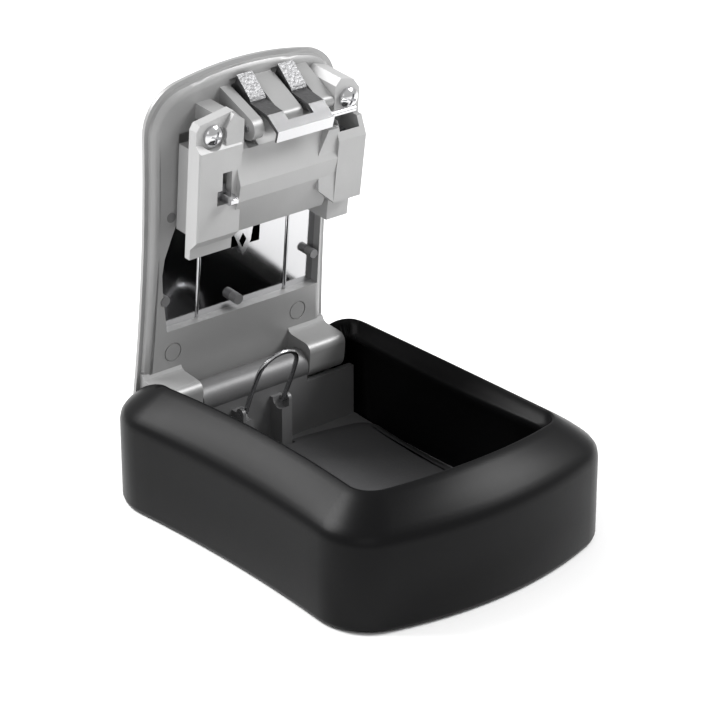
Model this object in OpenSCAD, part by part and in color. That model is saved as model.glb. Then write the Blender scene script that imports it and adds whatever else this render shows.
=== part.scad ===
// Wall-mounted key lock box, lying on its back with the lid open.
// Origin: centre of the back face. +X right, +Y towards the hinge end, +Z out of the wall.
// Lid pieces are drawn in lid coordinates: u right, v up from the hinge axis, w outwards,
// as someone in front of the closed, hanging box sees it, then turned about the hinge axis.

/* [Case] */
// Width of the case at its back
case_w = 85; // [84.8:0.1:85.6]
// Length of the case along the hinge-to-latch direction
case_l = 110; // [109.8:0.1:110.6]
// Depth of the closed box, from the wall to the top of the dust cover
box_depth = 40; // [39.6:0.1:41]
// Height of the case side up to the start of the bevel
side_h = 23.7; // [23.4:0.1:24]
// Height of the rim around the lid opening
rim_h = 33.95; // [33.6:0.05:34.1]
// How far the long sides pull in at the middle
waist = 2.6; // [2.2:0.1:2.8]
// Wall thickness of the moulded case
case_wall = 2.2; // [2:0.1:2.3]
// Radius of the wire of the key loop
wire_r = 0.6; // [0.5:0.05:0.65]

/* [Lid] */
// Angle that the lid stands open
lid_open = 84.6; // [0:0.1:84.6]
// Height of the hinge axis above the wall
hinge_z = 21.1; // [21:0.1:21.2]
// Distance of the hinge axis from the middle of the case
hinge_y = 42.9; // [42.8:0.1:43]
// Half width of the lid
lid_hw = 30.2; // [29.9:0.1:30.2]
// Distance from the hinge axis to the free end of the lid
lid_len = 86.9; // [86.6:0.1:86.9]
// Radius of the hinge pin
pin_r = 1.5; // [1.4:0.05:1.6]

/* [Lock] */
// Radius of a number dial
dial_r = 8.8; // [8.5:0.05:8.85]
// Distance between neighbouring dials
dial_pitch = 5.7; // [5.6:0.1:5.8]
// How far the two hooks draw back
latch_travel = 3; // [2.4:0.1:3]
// How far the dust cover slides
cover_travel = 33; // [26:1:33]

/* [Wall screws] */
// Distance between the wall screw holes across the case
wall_hole_x = 40; // [36:1:44]
// Distance between the wall screw holes along the case
wall_hole_y = 52; // [46:1:54]
// Radius of a wall screw hole
wall_hole_r = 2.25; // [2:0.05:2.4]

/* [Hidden] */
$fn = 64;

black = [0.05, 0.05, 0.055];
zinc = [0.62, 0.62, 0.63];
chrome = [0.85, 0.85, 0.87];
steel = [0.7, 0.7, 0.72];

// ---- plan outline: concave long sides, bowed ends, round corners ----

// Points of one quarter, from the middle of the right side to the middle of the far end.
// s = [half width, half length, waist, bow of the end, corner radius]
function quarter(s, ns = 7, nf = 9, ne = 6) =
  let(
    hw = s[0], hl = s[1], c = s[2], e = s[3], r = s[4],
    rs = ((hl - e)^2 + c^2) / (2 * c), sx = hw - c + rs,
    re = (hw^2 + e^2) / (2 * e), ey = hl - re,
    // centre of the corner arc, at rs + r from the side's centre and re - r from the end's
    p = rs + r, q = re - r, d = norm([sx, ey]),
    a = (p^2 - q^2 + d^2) / (2 * d), h = sqrt(p^2 - a^2),
    ux = -sx / d, uy = ey / d,
    gx = sx + a * ux + h * uy, gy = a * uy - h * ux,
    side_a = atan2(gy, gx - sx), end_a = atan2(gy - ey, gx)
  )
  concat(
    [for (i = [0 : ns - 1]) let(t = 180 + (side_a - 180) * i / ns)
      [sx + rs * cos(t), rs * sin(t)]],
    [for (i = [0 : nf - 1]) let(t = (side_a - 180) + (end_a - side_a + 180) * i / nf)
      [gx + r * cos(t), gy + r * sin(t)]],
    [for (i = [0 : ne]) let(t = end_a + (90 - end_a) * i / ne)
      [re * cos(t), ey + re * sin(t)]]
  );

// A whole outline, anticlockwise from the middle of the right side; far and near are quarters
function outline(far, near) =
  let(k = quarter(far), m = quarter(near), n = len(k))
  concat(
    k,
    [for (i = [n - 2 : -1 : 1]) [-k[i][0], k[i][1]]],
    [for (i = [0 : n - 1]) [-m[i][0], -m[i][1]]],
    [for (i = [n - 2 : -1 : 1]) [m[i][0], -m[i][1]]]
  );

function mixed(a, b, t) = a + (b - a) * t;
function inset(s, d) = [s[0] - d, s[1] - d, s[2], s[3], max(s[4] - d, 1)];
function ring(s, z, y = 0) = [for (p = outline(s, s)) [p[0], p[1] + y, z]];

// Skin over closed rings of the same number of points; loop joins the last ring to the first
module skin(rings, loop = false) {
  m = len(rings);
  n = len(rings[0]);
  sides = [for (j = [0 : (loop ? m : m - 1) - 1], i = [0 : n - 1])
    let(k = (j + 1) % m, a = j * n + i, b = j * n + (i + 1) % n, c = k * n + (i + 1) % n, d = k * n + i)
    each [[a, c, b], [a, d, c]]];
  caps = loop ? [] : [
    [for (i = [0 : n - 1]) i],
    [for (i = [n - 1 : -1 : 0]) (m - 1) * n + i]
  ];
  polyhedron(points = [for (r = rings, p = r) p], faces = concat(sides, caps), convexity = 8);
}

// Round wire of radius r swept along points that bend gently
module wire(path, r, sides = 8) {
  n = len(path);
  skin([for (i = [0 : n - 1])
    let(
      t = path[min(i + 1, n - 1)] - path[max(i - 1, 0)], f = t / norm(t),
      g = abs(f[0]) < 0.9 ? [1, 0, 0] : [0, 1, 0],
      s = cross(f, g), b = s / norm(s), c = cross(f, b)
    )
    [for (k = [0 : sides - 1]) let(a = -360 * k / sides) path[i] + r * (cos(a) * b + sin(a) * c)]]);
}

// Coil spring along its own +Z axis, with closed ends
module coil(r, wire_r, length, turns, steps = 12) {
  wire([for (i = [0 : turns * steps])
    let(t = i / (turns * steps), a = 360 * turns * t)
    [r * cos(a), r * sin(a), wire_r + (length - 2 * wire_r) * t]], wire_r, 6);
}

// ---- placing helpers ----
module on_lid() {
  translate([0, hinge_y, hinge_z]) rotate([-lid_open, 0, 0]) rotate([0, 0, 180]) children();
}
// Extrudes a 2D shape drawn in (v, w) along u
module along_u(u0, u1) {
  translate([u0, 0, 0]) rotate([90, 0, 90]) linear_extrude(u1 - u0) children();
}
// Extrudes a 2D shape drawn in (u, v) along w
module along_w(w0, w1) {
  translate([0, 0, w0]) linear_extrude(w1 - w0) children();
}
module block(u, v, w) {
  translate([u[0], v[0], w[0]]) cube([u[1] - u[0], v[1] - v[0], w[1] - w[0]]);
}
module rod_u(u0, u1, v, w, r) {
  translate([u0, v, w]) rotate([0, 90, 0]) cylinder(r = r, h = u1 - u0);
}
module rod_w(u, v, w0, w1, r) {
  translate([u, v, w0]) cylinder(r = r, h = w1 - w0);
}
module rod_v(u, v0, v1, w, r) {
  translate([u, v0, w]) rotate([-90, 0, 0]) cylinder(r = r, h = v1 - v0);
}

// ---- case ----
shoulder = [case_w / 2, case_l / 2, waist, 9.1, 14.6];
rim = [case_w / 2 - 10.6, case_l / 2 - 9.6, 1.35, 5.6, 7.7];
cavity = [34, 48.2, 2.4, 6, 6];
cavity_y = 4.2;
crown_x = 2.18;
crown_y = 1.19;
lip_t = 1;
seat_z = hinge_z + 7.1;
seat_t = 1.6;
back_plate_t = 2;
floor_z = 3;
wall_y = 39.4;
knuckle_r = 4;
barrel_r = 4.1;
barrel_hw = 16.9;
lid_swing_r = 9.9;
notch_hw = 30.9;
boss_at = [36.9, 30];
hook_u = [-13, -0.3];
hook_w = 4.8;

// A ring that is lower towards the sides and the ends, as the rim is
function crowned(s, z, k = 1) = [for (p = outline(s, s))
  [p[0], p[1], z - k * (crown_x * (p[0] / 35)^2 + crown_y * (p[1] / 45)^2)]];

module case_body() {
  steps = 7;
  recess = inset(shoulder, case_wall);
  skin(concat(
    [ring(inset(shoulder, 1.1), 0), ring(inset(shoulder, 0.35), 0.45), ring(shoulder, 1.5)],
    [ring(shoulder, side_h - 1.8), ring(inset(shoulder, 0.3), side_h - 0.2)],
    [for (i = [1 : steps - 1]) let(t = i / steps, bulge = 0.8 * sin(180 * t))
      crowned(inset(mixed(shoulder, rim, t), -0.5 * bulge), mixed(side_h, rim_h, t) + 0.5 * bulge, t)],
    [crowned(inset(rim, 0.1), rim_h), crowned(inset(rim, 0.5), rim_h + 0.1)],
    [crowned(inset(rim, lip_t - 0.1), rim_h - 0.2), ring(inset(rim, lip_t), seat_z)],
    [ring(inset(rim, 2.4), seat_z), ring(inset(rim, 2.4), seat_z - seat_t)],
    [ring(cavity, seat_z - 5, cavity_y), ring(cavity, back_plate_t, cavity_y)],
    [ring(recess, back_plate_t), ring(recess, 0)]
  ), loop = true);
}

module case_shell() {
  tooth_z = hinge_z + panel_w - 0.2;
  tooth_y = hinge_y - 83.2;
  tooth = [[-46, tooth_z], [tooth_y, tooth_z], [tooth_y, tooth_z - 0.7], [tooth_y - 1.4, tooth_z - 0.7],
    [-46, tooth_z - 2.6]];
  color(black)
  difference() {
    union() {
      case_body();
      // teeth that the hooks catch under
      for (u = hook_u) along_u(-u - hook_w, -u) polygon(tooth);
    }
    // mould core between the walls and the cavity, open at the back
    for (s = [0, 1]) mirror([s, 0, 0]) difference() {
      linear_extrude(side_h - 6) intersection() {
        difference() {
          polygon(outline(inset(shoulder, case_wall), inset(shoulder, case_wall)));
          translate([0, cavity_y]) polygon(outline(inset(cavity, -1.8), inset(cavity, -1.8)));
        }
        translate([20, -60]) square([40, 96]);
      }
      // bosses that the base screws bite into
      for (y = [-1, 1]) translate([boss_at[0], y * boss_at[1], back_plate_t]) cylinder(r = 2.6, h = side_h);
    }
    for (x = [-1, 1], y = [-1, 1])
      translate([x * boss_at[0], y * boss_at[1], 0]) cylinder(r = 1.1, h = 12);
    // the lid's hinge end swings through here
    translate([-notch_hw, 35.5, hinge_z]) cube([2 * notch_hw, 52.6 - 35.5, 20]);
    translate([-notch_hw, hinge_y, hinge_z]) rotate([0, 90, 0]) cylinder(r = lid_swing_r, h = 2 * notch_hw);
  }
}

loop_x = 6;
loop_y = 36;
loop_z = 16.6;
post_x = 6.25;
module base_casting() {
  plate_in = inset(shoulder, case_wall + 0.3);
  tray_in = inset(cavity, 0.2);
  color(zinc)
  difference() {
    union() {
      linear_extrude(back_plate_t - 0.05) polygon(outline(plate_in, plate_in));
      translate([0, cavity_y]) linear_extrude(floor_z) polygon(outline(tray_in, tray_in));
      // hinge wall
      translate([-32.6, wall_y, 0]) cube([65.2, 2.2, hinge_z - knuckle_r - 0.1]);
      translate([-barrel_hw, wall_y, 0]) cube([2 * barrel_hw, hinge_y - wall_y, hinge_z]);
      translate([-barrel_hw, hinge_y, hinge_z]) rotate([0, 90, 0]) cylinder(r = barrel_r, h = 2 * barrel_hw);
      // posts that hold the key loop
      for (s = [-1, 1]) translate([s * post_x - 1.65, loop_y - 1.4, 0]) cube([3.3, wall_y - loop_y + 2.4, loop_z]);
      for (s = [-1, 1]) translate([s * post_x - 1.65, loop_y, loop_z]) rotate([0, 90, 0]) cylinder(r = 1.4, h = 3.3);
      // webs behind the wall
      for (x = [-24, 24]) translate([x - 1, wall_y, 0]) cube([2, 3, 10]);
    }
    // clearance for the lid's knuckles and bore of the pin
    for (s = [0, 1]) mirror([s, 0, 0]) translate([barrel_hw, hinge_y, hinge_z]) rotate([0, 90, 0])
      cylinder(r = knuckle_r + 0.5, h = 17);
    translate([-40, hinge_y, hinge_z]) rotate([0, 90, 0]) cylinder(r = pin_r, h = 80);
    // bores for the key loop's feet, and the slots that its legs swing in
    for (s = [0, 1]) mirror([s, 0, 0]) translate([0, loop_y, loop_z]) rotate([0, 90, 0]) {
      translate([0, 0, loop_x]) cylinder(r = wire_r + 0.05, h = 4);
      translate([0, 0, loop_x - 2]) cylinder(r = 2.3, h = 2.95);
    }
    // wall screw holes and base screw holes
    for (x = [-1, 1], y = [-1, 1]) {
      translate([x * wall_hole_x / 2, y * wall_hole_y / 2, -1]) cylinder(r = wall_hole_r, h = 9);
      translate([x * boss_at[0], y * boss_at[1], -1]) cylinder(r = 1.35, h = 9);
      translate([x * boss_at[0], y * boss_at[1], -0.01]) cylinder(r1 = 2.5, r2 = 1.3, h = 1.2);
    }
  }
}

module base_screws() {
  color(steel)
  for (x = [-1, 1], y = [-1, 1]) translate([x * boss_at[0], y * boss_at[1], 0]) difference() {
    union() {
      translate([0, 0, 0.15]) cylinder(r1 = 2.25, r2 = 1.1, h = 1.15);
      translate([0, 0, 1.2]) cylinder(r = 1.1, h = 9);
    }
    for (a = [0, 90]) rotate([0, 0, a]) translate([-1.3, -0.25, 0]) cube([2.6, 0.5, 0.8]);
  }
}

mat_t = 1.4;
module floor_mat() {
  color([0.3, 0.3, 0.31])
  difference() {
    skin([for (k = [[0.5, 0], [0.5, 0.35], [3.2, mat_t - 0.15], [4.2, mat_t]])
      ring(inset([33.3, 40.8, 2.4, 5, 6], k[0]), floor_z + k[1], -2.6)]);
    for (s = [-1, 1]) translate([s * loop_x - 2.4, loop_y - 2.2, 0]) cube([4.8, 10, 20]);
  }
}

// Wire arch that leans into the case; its feet turn outwards in the posts
loop_lean = 24;
loop_h = 19.2;
module key_loop() {
  foot = 1.8;
  side = concat(
    [for (x = [0 : 1]) [loop_x + foot - x * (foot - 0.5), 0]],
    [for (a = [-80 : 40 : 0]) [loop_x - 0.5 + 0.5 * cos(a), 0.5 + 0.5 * sin(a)]],
    [for (i = [1 : 4]) [loop_x + 0.25 * sin(45 * i), i * (loop_h - loop_x) / 4]],
    [for (a = [10 : 10 : 90]) [loop_x * cos(a), loop_h - loop_x + loop_x * sin(a)]]
  );
  n = len(side);
  path = concat(side, [for (i = [n - 2 : -1 : 0]) [-side[i][0], side[i][1]]]);
  color(steel)
  translate([0, loop_y, loop_z]) rotate([loop_lean, 0, 0])
    wire([for (p = path) [p[0], 0, p[1]]], wire_r);
}

pin_half = 28;
module hinge_pin() {
  color(steel) translate([-pin_half, hinge_y, hinge_z]) rotate([0, 90, 0]) cylinder(r = pin_r, h = 2 * pin_half);
}

// ---- lid, in lid coordinates ----
lid_far = [lid_hw, 45, 1.35, 5, 11.9];
lid_near = [lid_hw + 2.2, 70, 3.55, 5, 8];
lid_mid = lid_len - 45;
lid_out = 8.9;
panel_w = 5.4;
plate_w = 7.9;
plate_t = 0.6;
dial_v = 58.5;
dial_w = 2;
bay_hw = 2 * dial_pitch + 0.2;
track_w = 10.5;
screw_u = [19.6, -22.3];
screw_v = 75.9;
screw_end = -0.8;
pad_w = -6.2;
pad_back = -3.4;
block_u = 24.3;
studs = [[23, 27.2, 5.2, 1.3], [-24.5, 27.2, 5.2, 1.2], [-0.4, 20.9, 5.4, 1.4]];
stud_shank_r = 0.9;
rail_u = 18;

function lid_ring(d, w) = [for (p = outline(inset(lid_far, d), inset(lid_near, d))) [p[0], p[1] + lid_mid, w]];

// Opening in front of the steel plate, seen from outside; top is its upper edge
module window(top) {
  polygon([[-26.3, top], [-26.3, 18.2], [22.2, 18.2], [23, 24], [23.9, 30], [24.2, 34.6], [23.6, 39], [21.8, 44],
    [20.2, 48], [19.9, 52], [20.5, top]]);
}

module lid_plate() {
  profile = [[3.6, panel_w], [2.8, 5.5], [2.1, 5.8], [1.5, 6.3], [1.3, 6.9], [1.2, 7.1],
    [0, 7.1], [0, 7.9], [0.15, 8.3], [0.8, 8.75], [1.6, lid_out]];
  difference() {
    skin([for (k = profile) lid_ring(k[0], k[1])]);
    block([-40, 40], [-60, 0], [0, 12]);
  }
}

module knuckle(u0, u1) {
  along_u(u0, u1) {
    circle(r = knuckle_r);
    polygon(concat([[0, -knuckle_r]], [for (a = [-90 : 15 : 0]) [4 + 2.4 * cos(a), 2.4 - knuckle_r + 2.4 * sin(a)]],
      [[6.4, 3.8], [6.8, 4.9], [7.9, 5.6], [7.9, 7.2], [-1, 7.2], [-1, 0]]));
  }
}

// Rounded lug standing on the lid, drawn in (v, w): foot from v0 to v1, round end at tip
module lug(u0, u1, v0, v1, tip_v, tip_w, r) {
  along_u(u0, u1) {
    translate([tip_v, tip_w]) circle(r = r);
    polygon([[v0, 5.6], [tip_v - r, tip_w], [tip_v, tip_w], [tip_v + r * 0.949, tip_w - r * 0.316], [v1, 5.6]]);
  }
}

module lid_casting() {
  color(zinc) on_lid()
  difference() {
    union() {
      lid_plate();
      // skirt that rolls over the hinge
      along_u(-lid_hw, lid_hw) intersection() {
        difference() {
          circle(r = lid_out);
          circle(r = 7.2);
        }
        translate([-20, 0]) square([20.01, 20]);
      }
      for (s = [0, 1]) mirror([s, 0, 0]) knuckle(17.3, 29);
      // track that the dust cover slides on
      along_w(8.5, 9.7) translate([-22.2, 7]) square([44.4, 36 + cover_travel]);
      along_w(9.7, track_w) translate([-23.2, 7]) square([46.4, 36 + cover_travel]);
      // ear with the guide pin, middle lug and right lug beside the hooks
      lug(5.5, 8.5, 70, 81.5, 74.7, -5.6, 3);
      lug(-7.5, -1, 72, 82.5, 75.6, -5.4, 1.8);
      lug(-18.2, -13.8, 73, 82, 75.6, -4.4, 1.8);
      // bosses for the housing screws
      rod_w(screw_u[1], screw_v, pad_back, 7, 2.6);
      block([11.2, 15.8], [75, 79], [pad_back, 5.6]);
      block([11.2, screw_u[0] + 2.2], [75, 77.6], [pad_back, -1]);
      rod_w(screw_u[0], screw_v, pad_back, -1, 2.2);
    }
    difference() {
      union() {
        // window, recess for the plate and pocket for the lock
        along_w(0, plate_w + 0.01) intersection() {
          window(72);
          translate([-40, 0]) square([80, 49]);
        }
        along_w(0, 7.4) intersection() {
          window(72);
          translate([-40, 48.9]) square([80, 30]);
        }
        along_w(plate_w, plate_w + plate_t) translate([-27.05, 15.45]) square([52.6, 34.1]);
        along_w(plate_w, 12) translate([-rail_u, 15.45]) square([2 * rail_u, 34.1]);
      }
      rod_w(19, 60, 3.6, 8, 1.7);
      lug(5.5, 8.5, 70, 81.5, 74.7, -5.6, 3);
    }
    // dial opening, slot for the opener's stem and tunnel for the comb bar
    block([-bay_hw, bay_hw], [dial_v - 7.4, dial_v + 7.4], [5, 12]);
    block([-21.3, -18.5], [60.4, 68.6], [5, 12]);
    block([-21.3, bay_hw], [67.9, 74.2], [0.9, 5.1]);
    // slots for the hooks
    for (u = hook_u) block([u - 0.3, u + hook_w + 1.1], [74.4, 82.9], [4.6, 6.2]);
    // hinge pin, guide pin, screws and stop pins
    rod_u(-pin_half - 0.2, pin_half + 0.2, 0, 0, pin_r + 0.05);
    rod_u(5, 9, 74.7, -5.6, 0.9);
    // room around the left stud
    rod_w(studs[0][0], studs[0][1], 2, plate_w, studs[0][3] + 0.1);
    for (u = screw_u) rod_w(u, screw_v, -4, screw_end, 1.1);
    for (u = [-12.5, 12.5]) rod_w(u, 9, 8, 12, 0.8);
    rod_w(22, 50, 5, 7, 1.3);
    // ejector marks
    for (s = [-1, 1]) difference() {
      rod_w(s * 20.1, 12, 4, panel_w + 0.25, 2.6);
      rod_w(s * 20.1, 12, 3, 7, 2.3);
    }
  }
}

// Trim plate with two rolled ribs and a notch for the click spring
module face_plate() {
  color(chrome) on_lid()
  difference() {
    union() {
      along_w(plate_w, plate_w + plate_t) translate([-27, 15.5]) square([52.5, 34]);
      rod_v(11, 18.4, 46, plate_w, 0.5);
      rod_v(-17.2, 18.4, 46, plate_w, 0.5);
    }
    along_w(7, 10) polygon([[-8.2, 34.7], [1, 34.7], [1, 49], [-8.2, 49]]);
    for (p = studs) rod_w(p[0], p[1], 2, 12, stud_shank_r);
  }
}

// Studs riveted to the plate, and a rivet that shows on the border
module plate_rivets() {
  color(steel) on_lid() {
    rod_w(22, 50, 5.25, 7, 1.3);
    for (p = studs) {
      rod_w(p[0], p[1], p[2], plate_w, p[3]);
      rod_w(p[0], p[1], plate_w - 0.1, plate_w + plate_t, stud_shank_r);
    }
  }
}

// ---- lock housing ----
module lock_housing() {
  bw = panel_w - 0.1;
  color([0.7, 0.7, 0.71]) on_lid()
  difference() {
    union() {
      // body over the dials
      along_u(-17.6, 12.9) polygon([[47, 4.8], [47, -4.5], [57.5, -9], [62, -9.6], [70, -6.5], [74.6, -1], [74.6, bw],
        [68, bw], [68, 4.8]]);
      // left block, its foot and the pad under the screw
      intersection() {
        translate([0, 84, 0]) rotate([90, 0, 0]) linear_extrude(44)
          polygon([[11.6, -8], [block_u - 0.3, -8], [block_u, -7.6], [block_u, pad_back], [11.6, pad_back]]);
        along_u(11.6, block_u + 1) polygon([[43.5, 0],
          [43.5, -5.2], [46.4, -5.4], [49.2, -8], [72.4, -8], [74.2, pad_w], [74.2, 0]]);
      }
      along_u(12.4, 20.8) polygon([[47, 4.8], [47, -5], [69.8, -5], [69.8, 4.8]]);
      along_w(pad_w, pad_back) polygon([[block_u, 70], [block_u, 77.6], [block_u - 1, 79.2], [13.4, 80.9],
        [11, 78.6], [11, 70]]);
      along_w(-7.6, pad_back) polygon([[16.4, 70], [16.2, 73.8], [16.8, 77], [14.2, 80.7], [11, 78.6], [11, 70]]);
      // right block, its foot and the pad under the screw
      along_u(-26.2, -17.5) polygon([[49.4, 4.8], [49.4, -9], [66.4, -9.8], [71, -7.6], [71.2, 4.8]]);
      along_u(-25.8, -19) polygon([[42.6, 4.8], [42.6, -5], [52, -5.4], [52, 4.8]]);
      along_w(pad_w, 4.8) polygon([[-17.6, 70], [-18.4, 79.6], [-20, 81.4], [-24, 80.4], [-26.2, 77.6], [-26.2, 70]]);
      // slope between the right block and the body
      along_w(-9, 4.8) polygon([[-17.8, 49.6], [-17.5, 49.6], [-12.4, 54], [-11.8, 64], [-14.6, 69.8], [-17.8, 69.8]]);
    }
    // dial chamber
    intersection() {
      rod_u(-bay_hw, bay_hw, dial_v, dial_w, dial_r + 0.35);
      block([-40, 40], [40, 80], [-20, 8]);
    }
    block([-bay_hw, bay_hw], [dial_v - dial_r - 0.35, dial_v + dial_r + 0.35], [dial_w, 8]);
    block([-bay_hw, bay_hw], [dial_v, 69], [0, 8]);
    // bore for the dial axle, chamber for the dial spring
    rod_u(-15.6, 13, dial_v, dial_w, 1.5);
    rod_u(-15.4, 0, dial_v, dial_w, 3.3);
    // pocket for the latch tail and its spring
    block([-24.6, -18.4], [54, 73], [-8.8, -1.6]);
    block([-21.4, -18.4], [60.3, 73.5], [-2, 6]);
    block([-21.4, bay_hw], [67.9, 74.2], [0.8, 5.1]);
    // L-shaped slot for the reset lever, and the room behind it
    block([14.4, 17.2], [57.6, 66], [-11, 3]);
    block([14.4, 18.6], [57.6, 61.4], [-11, -5.5]);
    block([13.9, 19.6], [51.5, 68], [-5.9, 3]);
    // screw holes, and room for the lid's bosses and lugs
    for (u = screw_u) rod_w(u, screw_v, -9, 6, 1.35);
    rod_w(screw_u[1], screw_v, pad_back, 6, 2.65);
    rod_w(screw_u[0], screw_v, -12, pad_w, 3.5);
    for (k = [[5.5, 8.5], [-7.5, -1], [-18.2, -13.8]]) block([k[0] - 0.1, k[1] + 0.1], [69.9, 84], [-12, 6]);
    // room for the tab that joins the bracket to the slide
    block([-13.2, -10.8], [73.9 - latch_travel, 76], [0.8, 5.1]);
    block([-13.2, -10.8], [72.9, 76], [-7, 5.1]);
    rod_w(19, 60, 3.5, 8, 1.8);
  }
}

module housing_screws() {
  color(chrome) on_lid()
  for (u = screw_u) translate([u, screw_v, pad_w]) difference() {
    union() {
      cylinder(r = 1.1, h = screw_end - pad_w);
      intersection() {
        translate([0, 0, -2.05]) cylinder(r = 2.7, h = 2.05);
        translate([0, 0, 1.75]) sphere(r = 3.8);
      }
    }
    for (a = [20, 110]) rotate([0, 0, a]) translate([-1.5, -0.35, -2.5]) cube([3, 0.7, 1.6]);
  }
}

module latch_guide_pins() {
  color(steel) on_lid() rod_u(5.4, 9, 74.7, -5.6, 0.9);
}

// Stamped click spring under the dust cover: a tongue with a V tip and a diamond hole
module cover_click_spring() {
  color(chrome) on_lid()
  difference() {
    along_w(6.9, 7.3) polygon([[1.6, 48], [1.5, 40], [-2.4, 32.3], [-4.6, 36], [-5.2, 40], [-5.2, 48]]);
    along_w(6, 8) polygon([[-2, 34.6], [-0.9, 36.8], [-2, 38.8], [-3.2, 36.8]]);
  }
}

// ---- dials ----
ring_w = 3.7;
disc_t = 1.3;
cam_r = 6.6;
function dial_u(i) = (i - 2.5) * dial_pitch - (ring_w + disc_t) / 2;
module number_dial(i) {
  color(black) on_lid() translate([dial_u(i), dial_v, dial_w]) rotate([0, 90, 0])
  difference() {
    cylinder(r = dial_r, h = ring_w);
    translate([0, 0, -1]) cylinder(r = 4.2, h = 9);
    // finger grooves between the ten digits
    for (k = [0 : 9]) rotate([0, 0, 36 * k + 18]) translate([dial_r + 0.35, 0, -1]) cylinder(r = 0.8, h = 9);
  }
}
module code_cam(i) {
  color([0.78, 0.68, 0.4]) on_lid() translate([dial_u(i), dial_v, dial_w]) rotate([0, 90, 0])
  difference() {
    union() {
      cylinder(r = 4.2, h = ring_w);
      translate([0, 0, ring_w]) cylinder(r = cam_r, h = disc_t);
    }
    translate([0, 0, -1]) cylinder(r = 1.55, h = 9);
    // gate that the comb drops into
    translate([-1.5, 3.1, ring_w - 0.01]) cube([3, 5, 3]);
  }
}
module dial_axle() {
  color(steel) on_lid() rod_u(-15.4, 12.8, dial_v, dial_w, 1.5);
}
module dial_spring() {
  color(steel) on_lid() translate([-15.3, dial_v, dial_w]) rotate([0, 90, 0]) coil(2.5, 0.3, 3.6, 4);
}
// Leaf with a finger on each dial
module dial_click_spring() {
  color(steel) on_lid()
  union() {
    block([-bay_hw + 0.1, bay_hw - 0.1], [dial_v - dial_r - 0.3, dial_v - dial_r + 0.05], [3.4, 4.7]);
    for (i = [1 : 4]) block([dial_u(i) + 0.6, dial_u(i) + 2.4], [dial_v - dial_r - 0.1, dial_v - dial_r + 0.2], [4, 4.7]);
  }
}

// ---- latch ----
module latch_bracket() {
  wedge = [[78.2, 5.9], [78, 3], [77.8, -1.4], [79.2, -1.6], [80, -1.1], [84.2, 4.2], [82.9, 4.3],
    [81.2, 5.1], [81.2, 5.9]];
  strap = [[78.9, -1.2], [78.2, -8.2], [76.4, -11], [75.6, -10.4], [77.2, -7.8], [77.9, -1.2]];
  plate = [[76.8, -10.4], [75.4, -12.6], [74.6, -12.1], [76, -9.9]];
  lip = [[75.5, -12.7], [72.4, -12.1], [72.4, -11.5], [75.2, -11.9]];
  color(chrome) on_lid()
  union() {
    for (u = hook_u) along_u(u, u + hook_w) {
      polygon(wedge);
      polygon(strap);
    }
    along_u(hook_u[0], hook_u[1] + hook_w) {
      polygon(plate);
      polygon(lip);
    }
    // rod on the right, and the tab behind the strap that joins the opener slide
    rod_u(-20.6, hook_u[0] + 1, 75.2, -11, 0.8);
    along_u(-12.8, -11.2) polygon([[78, -6], [77.9, 3.8], [73.4, 3.8], [73.4, 1.4], [76.2, 1.4], [76.4, -6]]);
  }
}

// Opener slide: stem through the lid, and the comb bar that reads the cams
module latch_slide() {
  color(steel) on_lid()
  union() {
    block([-20.9, -19], [64, 68], [-7.6, 9.6]);
    block([-20.9, -19], [66, 68.6], [-8, -5]);
    block([-20.9, -19], [64, 73.4], [1.4, 3.8]);
    block([-20.9, 11], [71.3, 73.4], [1.4, 3.8]);
    for (i = [1 : 4]) block([dial_u(i) + ring_w + 0.15, dial_u(i) + ring_w + disc_t - 0.15],
      [dial_v + cam_r + latch_travel + 0.2, 71.4], [1.6, 3.6]);
  }
}
module latch_spring() {
  color(steel) on_lid() translate([-20, 54.1, -5]) rotate([-90, 0, 0]) coil(1.3, 0.3, 9.8, 7);
}
module open_button() {
  color(black) on_lid()
  difference() {
    along_w(track_w + 0.1, 12.4) rounded([-22.5, -17.3], [62, 70], 1);
    block([-20.9, -19], [64, 68], [0, 12]);
    for (k = [0 : 3]) block([-22, -17.8], [63.2 + 1.6 * k, 63.9 + 1.6 * k], [12.1, 13]);
  }
}
// Rectangle with round corners, drawn in (u, v)
module rounded(u, v, r) {
  for (a = [u[0] + r, u[1] - r], b = [v[0] + r, v[1] - r]) translate([a, b]) circle(r = r);
  translate([u[0] + r, v[0]]) square([u[1] - u[0] - 2 * r, v[1] - v[0]]);
  translate([u[0], v[0] + r]) square([u[1] - u[0], v[1] - v[0] - 2 * r]);
}

// ---- reset lever ----
module reset_lever() {
  color(chrome) on_lid()
  union() {
    along_u(14.7, 16.9) polygon([[58.2, -5.7], [58.2, -10.4], [58.8, -11.4], [60, -11.4], [60.6, -10.4], [60.6, -5.7]]);
    block([14.3, 19.2], [57, 61.8], [-5.8, -4.6]);
  }
}
module reset_spring() {
  color(steel) on_lid() block([14.6, 18.6], [51.6, 56.8], [-4.5, -4]);
}

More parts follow.
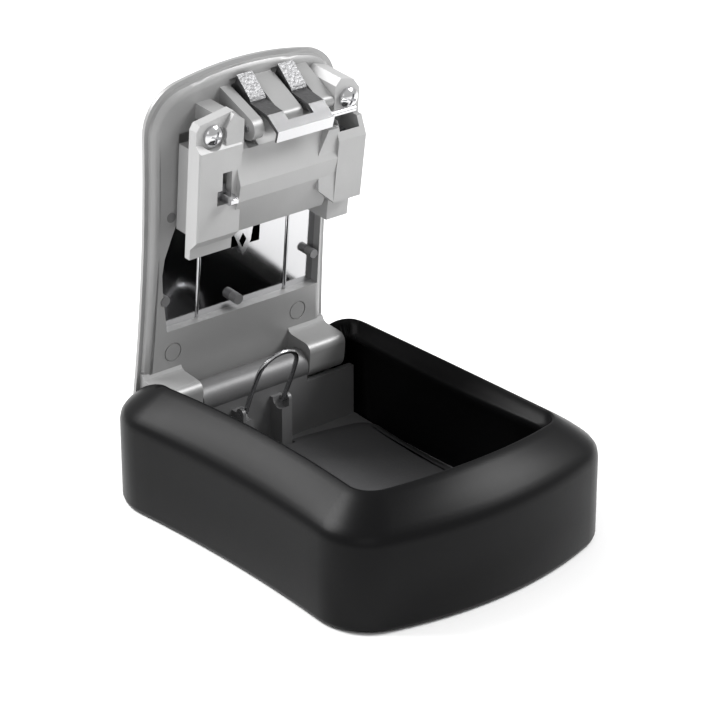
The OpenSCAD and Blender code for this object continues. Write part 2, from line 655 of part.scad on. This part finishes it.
// ---- dust cover, drawn slid down ----
cover_l = 40.8;
cover_v = 9.6;
cover_top = box_depth - hinge_z;
module dust_cover() {
  outer = [[-24.4, 9.1], [-24.4, 13], [-22.9, 15.1], [-19.6, 17.2], [-12, cover_top], [12, cover_top], [19.6, 17.2],
    [22.9, 15.1], [24.4, 13], [24.4, 9.1]];
  color(black) on_lid()
  difference() {
    translate([0, cover_v + cover_l, 0]) rotate([90, 0, 0]) linear_extrude(cover_l) polygon(outer);
    // groove over the track
    block([-22.5, 22.5], [0, 99], [8, 9.8]);
    block([-23.5, 23.5], [0, 99], [9.4, track_w + 0.1]);
    // room for the dials and the opener
    block([-22.9, bay_hw + 0.6], [0, 99], [track_w, 12.9]);
    block([-19, 19], [cover_v + 2, cover_v + cover_l - 2], [12, 15.6]);
    // finger grip
    for (k = [0 : 4]) block([-12, 12], [cover_v + 4 + 2.4 * k, cover_v + 5 + 2.4 * k], [cover_top - 0.6, 30]);
  }
}
module cover_stop_pins() {
  color(steel) on_lid() for (u = [-12.5, 12.5]) rod_w(u, 9, 8.2, track_w, 0.8);
}

case_shell();
base_casting();
base_screws();
floor_mat();
key_loop();
hinge_pin();
lid_casting();
face_plate();
plate_rivets();
lock_housing();
housing_screws();
latch_guide_pins();
cover_click_spring();
dial_click_spring();
dial_axle();
dial_spring();
latch_bracket();
latch_slide();
latch_spring();
open_button();
reset_lever();
reset_spring();
number_dial(1);  // number_dial_1
number_dial(2);  // number_dial_2
number_dial(3);  // number_dial_3
number_dial(4);  // number_dial_4
code_cam(1);  // code_cam_1
code_cam(2);  // code_cam_2
code_cam(3);  // code_cam_3
code_cam(4);  // code_cam_4
dust_cover();
cover_stop_pins();
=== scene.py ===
import math

import bmesh
import bpy
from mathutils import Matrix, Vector


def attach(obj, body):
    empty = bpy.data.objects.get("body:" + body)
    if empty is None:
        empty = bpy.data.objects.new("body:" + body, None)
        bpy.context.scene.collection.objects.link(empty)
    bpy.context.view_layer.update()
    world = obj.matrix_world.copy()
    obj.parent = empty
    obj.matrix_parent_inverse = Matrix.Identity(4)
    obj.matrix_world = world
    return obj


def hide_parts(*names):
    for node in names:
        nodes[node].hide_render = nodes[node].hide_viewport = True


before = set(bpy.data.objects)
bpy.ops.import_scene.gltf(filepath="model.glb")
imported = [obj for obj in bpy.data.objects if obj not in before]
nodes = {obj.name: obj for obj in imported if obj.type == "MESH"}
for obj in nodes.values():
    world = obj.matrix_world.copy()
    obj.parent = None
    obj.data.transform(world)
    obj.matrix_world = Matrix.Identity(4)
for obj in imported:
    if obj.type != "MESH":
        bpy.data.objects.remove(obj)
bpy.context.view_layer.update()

MM = 0.001
MERGE = 0.000002
RELIEF = 0.0002
LEAST_ROUGH = 0.02
LID_OPEN = math.radians(84.6)
HINGE = Vector((0, 42.9, 21.1)) * MM


# ---- materials ----
def material(name, base, rough, metal=0.0, spec=0.5, grain=0.05, grain_scale=900.0, bump=0.02,
             mottle=0.12, mottle_scale=60.0):
    """Principled material whose colour, gloss and surface vary a little, in object coordinates."""
    m = bpy.data.materials.new(name)
    m.use_nodes = True
    nt = m.node_tree
    n, link = nt.nodes, nt.links
    b = n["Principled BSDF"]
    b.inputs["Metallic"].default_value = metal
    b.inputs["Specular IOR Level"].default_value = spec
    co = n.new("ShaderNodeTexCoord")

    def noise(scale, detail):
        t = n.new("ShaderNodeTexNoise")
        t.inputs["Scale"].default_value = scale
        t.inputs["Detail"].default_value = detail
        link.new(co.outputs["Object"], t.inputs["Vector"])
        return t

    fine, broad = noise(grain_scale, 4.0), noise(mottle_scale, 3.0)
    ramp = n.new("ShaderNodeMapRange")
    ramp.inputs["To Min"].default_value = 1 - mottle
    ramp.inputs["To Max"].default_value = 1 + mottle
    link.new(broad.outputs["Fac"], ramp.inputs["Value"])
    tint = n.new("ShaderNodeVectorMath")
    tint.operation = "SCALE"
    tint.inputs[0].default_value = base
    link.new(ramp.outputs["Result"], tint.inputs["Scale"])
    link.new(tint.outputs["Vector"], b.inputs["Base Color"])
    gloss = n.new("ShaderNodeMapRange")
    gloss.inputs["To Min"].default_value = max(rough - grain, LEAST_ROUGH)
    gloss.inputs["To Max"].default_value = rough + grain
    link.new(fine.outputs["Fac"], gloss.inputs["Value"])
    link.new(gloss.outputs["Result"], b.inputs["Roughness"])
    relief = n.new("ShaderNodeBump")
    relief.inputs["Strength"].default_value = bump
    relief.inputs["Distance"].default_value = RELIEF
    link.new(fine.outputs["Fac"], relief.inputs["Height"])
    link.new(relief.outputs["Normal"], b.inputs["Normal"])
    return m


M = {
    "shell": material("satin_black", (0.0035, 0.0035, 0.0038), 0.34, spec=0.1, grain=0.05, bump=0.05,
                      grain_scale=1800),
    "paint": material("grey_paint", (0.3, 0.3, 0.3), 0.42, metal=0.25, bump=0.06, grain_scale=1500),
    # darker copy of the lid's grey paint: painted shade for the deep, shaded floor and hinge wall of the base
    # casting (also used on the plate rivets)
    "paint_painted_shade": material("grey_paint_painted_shade", (0.15, 0.15, 0.152), 0.45, metal=0.2, bump=0.06,
                           grain_scale=1500),
    "housing": material("light_grey_paint", (0.36, 0.36, 0.36), 0.45, metal=0.1, bump=0.06,
                        grain_scale=1500),
    "chrome": material("chrome", (0.62, 0.62, 0.63), 0.16, metal=1.0, grain=0.03, mottle=0.03,
                       bump=0.01),
    "plate": material("polished_plate", (0.6, 0.6, 0.61), 0.1, metal=1.0, grain=0.02, mottle=0.02,
                      bump=0.004),
    "rough": material("zinc_plated", (0.16, 0.16, 0.163), 0.42, metal=1.0, grain=0.18, grain_scale=1400,
                      mottle=0.25, mottle_scale=1100, bump=0.6),
    "steel": material("steel", (0.5, 0.5, 0.51), 0.25, metal=1.0, mottle=0.06),
    "brass": material("brass", (0.62, 0.45, 0.2), 0.3, metal=1.0),
    "dial": material("dial_black", (0.012, 0.012, 0.012), 0.25),
    "digit": material("digit_white", (0.8, 0.8, 0.8), 0.5),
    "mat": material("mat_rubber", (0.065, 0.065, 0.067), 0.65, spec=0.3, bump=0.2, grain_scale=1200),
}


def give(ob, m):
    ob.data.materials.clear()
    ob.data.materials.append(M[m])


# ---- rounded edges on the solid parts ----
def refine(node, body, mat, width=0.0, angle=30.0, segments=2, flat=0.6):
    """A copy of a solid's surface with merged flats, smooth curves and rounded edges, which stands for it."""
    me = nodes[node].data.copy()
    ob = bpy.data.objects.new(node + "_finished", me)
    bpy.context.collection.objects.link(ob)
    bm = bmesh.new()
    bm.from_mesh(me)
    bmesh.ops.remove_doubles(bm, verts=bm.verts, dist=MERGE)
    if width > 0:
        bmesh.ops.dissolve_limit(bm, angle_limit=math.radians(flat), verts=bm.verts, edges=bm.edges)
    for f in bm.faces:
        f.smooth = True
        f.material_index = 0
    bm.to_mesh(me)
    bm.free()
    if width > 0:
        b = ob.modifiers.new("edge", "BEVEL")
        b.limit_method = "ANGLE"
        b.angle_limit = math.radians(angle)
        b.width = width * MM
        b.segments = segments
        b.profile = 0.5
        n = ob.modifiers.new("flat_faces", "WEIGHTED_NORMAL")
        n.keep_sharp = True
    me.set_sharp_from_angle(angle=math.radians(angle))
    give(ob, mat)
    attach(ob, body)
    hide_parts(node)
    return ob


refine("case_shell", "case", "shell")
# the base casting has the lid's grey paint; its darker copy here is painted shade
refine("base_casting", "case", "paint_painted_shade", 0.25)
refine("floor_mat", "case", "mat")
refine("key_loop", "loop", "steel")
refine("lid_casting", "lid", "paint", 0.22)
refine("face_plate", "lid", "plate", 0.12)
refine("lock_housing", "lid", "housing", 0.3, angle=24)
bracket = refine("latch_bracket", "latch", "chrome", 0.15)
refine("reset_lever", "reset", "chrome", 0.15)
refine("dust_cover", "cover", "shell", 0.35, angle=20)
refine("open_button", "latch", "dial", 0.2)
for name, m in (("base_screws", "steel"), ("hinge_pin", "steel"), ("plate_rivets", "paint_painted_shade"),
                ("housing_screws", "chrome"), ("latch_guide_pins", "steel"), ("cover_click_spring", "chrome"),
                ("dial_click_spring", "steel"), ("dial_axle", "steel"), ("dial_spring", "steel"),
                ("latch_slide", "steel"), ("latch_spring", "steel"), ("reset_spring", "steel"),
                ("cover_stop_pins", "steel")):
    give(nodes[name], m)
for i in range(1, 5):
    give(nodes["number_dial_%d" % i], "dial")
    give(nodes["code_cam_%d" % i], "brass")


# ---- hooks and straps, rougher than the cross bar ----
LID_UP = Vector((0, -math.cos(LID_OPEN), math.sin(LID_OPEN)))
LID_OUT = Vector((0, math.sin(LID_OPEN), math.cos(LID_OPEN)))
CROSS_BAR_W = -8.2 * MM

bracket.data.materials.append(M["rough"])
for f in bracket.data.polygons:
    if (f.center - HINGE).dot(LID_OUT) > CROSS_BAR_W:
        f.material_index = 1


# ---- raised digits around the dials ----
DIAL_V, DIAL_W, DIAL_R, DIAL_PITCH = 58.5, 2.0, 8.8, 5.7
CAM_T = 1.3
DIGITS, DIALS_MIDDLE = 10, 2.5
DIGIT_H, DIGIT_RISE = 3.3, 0.06
# height of a digit as a share of the type size, and the strips that a digit is cut into
CAP_SHARE, STRIPS = 0.7, 8
LID_RIGHT = Vector((-1, 0, 0))


def digit_mesh(text):
    """A digit of DIGIT_H millimetres about its own middle, cut across so that it can bend."""
    cu = bpy.data.curves.new("digit", "FONT")
    cu.body, cu.size, cu.resolution_u = text, DIGIT_H / CAP_SHARE, 3
    tmp = bpy.data.objects.new("digit", cu)
    bpy.context.collection.objects.link(tmp)
    me = bpy.data.meshes.new_from_object(tmp.evaluated_get(bpy.context.evaluated_depsgraph_get()))
    bpy.data.objects.remove(tmp)
    bm = bmesh.new()
    bm.from_mesh(me)
    xs, ys = [v.co.x for v in bm.verts], [v.co.y for v in bm.verts]
    mid = Vector(((min(xs) + max(xs)) / 2, (min(ys) + max(ys)) / 2, 0))
    for v in bm.verts:
        v.co -= mid
    for k in range(1 - STRIPS // 2, STRIPS // 2):
        bmesh.ops.bisect_plane(bm, geom=bm.verts[:] + bm.edges[:] + bm.faces[:],
                               plane_co=(0, k * DIGIT_H / STRIPS, 0), plane_no=(0, 1, 0))
    return bm


def dial_digits(i):
    """The ten digits of one dial, wrapped around it."""
    along = LID_RIGHT * ((i - DIALS_MIDDLE) * DIAL_PITCH - CAM_T / 2)
    centre = HINGE + (along + LID_UP * DIAL_V + LID_OUT * DIAL_W) * MM
    out = bmesh.new()
    for k in range(DIGITS):
        bm = digit_mesh(str(k))
        for v in bm.verts:
            a = math.radians(360 / DIGITS * k) + v.co.y / DIAL_R
            v.co = centre + (LID_RIGHT * v.co.x + (LID_OUT * math.cos(a) + LID_UP * math.sin(a))
                             * (DIAL_R + DIGIT_RISE)) * MM
        me = bpy.data.meshes.new("digit")
        bm.to_mesh(me)
        bm.free()
        out.from_mesh(me)
        bpy.data.meshes.remove(me)
    me = bpy.data.meshes.new("dial_digits_%d" % i)
    out.to_mesh(me)
    out.free()
    ob = bpy.data.objects.new("dial_digits_%d" % i, me)
    bpy.context.collection.objects.link(ob)
    give(ob, "digit")
    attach(ob, "dial_%d" % i)


for i in range(1, 5):
    dial_digits(i)


# ---- floor, light and camera ----
def plane(name, size, at):
    me = bpy.data.meshes.new(name)
    bm = bmesh.new()
    bmesh.ops.create_grid(bm, x_segments=1, y_segments=1, size=size / 2)
    bm.to_mesh(me)
    bm.free()
    ob = bpy.data.objects.new(name, me)
    bpy.context.collection.objects.link(ob)
    ob.location = at
    return ob


floor = plane("floor", 12, (0, 0, -0.0002))
floor.data.materials.append(material("floor_white", (0.9, 0.9, 0.9), 0.9, spec=0.1, mottle=0.01, bump=0.0))

world = bpy.data.worlds.new("studio")
bpy.context.scene.world = world
world.use_nodes = True
world.node_tree.nodes["Background"].inputs["Color"].default_value = (1, 1, 1, 1)
world.node_tree.nodes["Background"].inputs["Strength"].default_value = 0.62


def lamp(name, at, target, size, power):
    """A square softbox that faces its target."""
    d = bpy.data.lights.new(name, "AREA")
    d.shape = "RECTANGLE"
    d.size, d.size_y, d.energy = size, size, power
    ob = bpy.data.objects.new(name, d)
    bpy.context.collection.objects.link(ob)
    ob.location = at
    ob.rotation_euler = (Vector(target) - Vector(at)).to_track_quat("-Z", "Y").to_euler()
    return ob


CENTRE = (0, 0, 0.03)
lamp("key", (-0.45, 0.55, 0.75), CENTRE, 0.45, 12)
lamp("fill", (0.62, -0.42, 0.7), CENTRE, 0.4, 9)
lamp("front", (-0.6, -0.6, 0.5), CENTRE, 0.5, 0.8)

# where the camera looks, from which side and height, and from how far, in metres
TARGET = Vector((0.00134, 0.00001, 0.04156))
AZIMUTH, ELEVATION, DISTANCE = math.radians(-40.34), math.radians(24.77), 0.69579
cam = bpy.data.objects.new("camera", bpy.data.cameras.new("camera"))
bpy.context.collection.objects.link(cam)
cam.data.sensor_width = 36
cam.data.lens = 143.58
level = math.cos(ELEVATION)
back = Vector((math.sin(AZIMUTH) * level, -math.cos(AZIMUTH) * level, math.sin(ELEVATION)))
cam.location = TARGET + back * DISTANCE
cam.rotation_euler = (-back).to_track_quat("-Z", "Y").to_euler()
cam.data.clip_start, cam.data.clip_end = 0.01, 30
bpy.context.scene.camera = cam
bpy.context.scene.view_settings.view_transform = "Standard"
